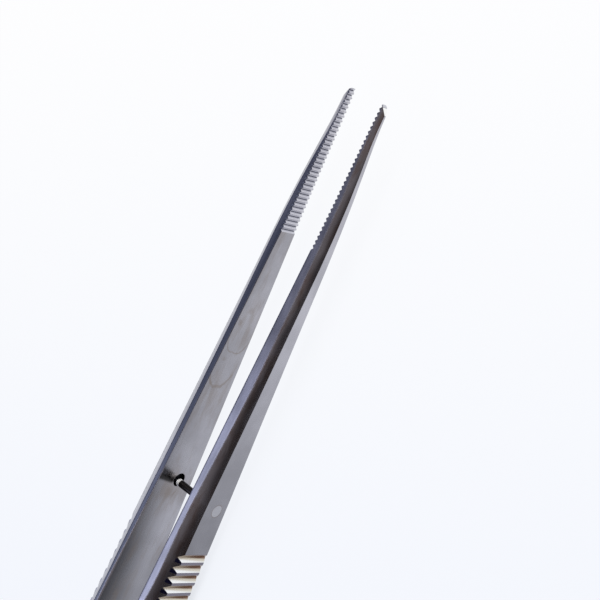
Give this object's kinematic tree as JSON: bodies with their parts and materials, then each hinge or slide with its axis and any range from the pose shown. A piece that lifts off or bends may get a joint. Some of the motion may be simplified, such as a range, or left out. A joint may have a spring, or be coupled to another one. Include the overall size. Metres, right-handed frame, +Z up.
{
  "type": "dissecting forceps",
  "caption": "Slender sprung forceps with fine cross-serrated jaws, a riveted guide pin that enters a hole in the opposite arm, and ribbed finger grips.",
  "frame": {"origin": "on the resting surface, under the middle of the outer box", "axes": "+X along the forceps towards the tips, +Y from the arm with the pin to the arm with the hole, +Z up across the width of the arms"},
  "size_m": [0.13, 0.0092, 0.0075],
  "materials": {
    "arm_steel": "satin ground stainless steel with faint brown water stains",
    "pin_steel": "turned stainless steel, peened flush at the head"
  },
  "bodies": {
    "hole_side": {"hole_arm": "arm_steel"},
    "pin_side": {"pin_arm": "arm_steel", "guide_pin": "pin_steel"}
  },
  "joints": [
    {"name": "squeeze", "type": "hinge", "parent": "hole_side", "child": "pin_side", "pos_m": [-0.057, 0, 0.00375], "axis": [0, 0, 1], "range_deg": [0, 1.94], "stiffness_Nm_per_rad": 5}
  ]
}
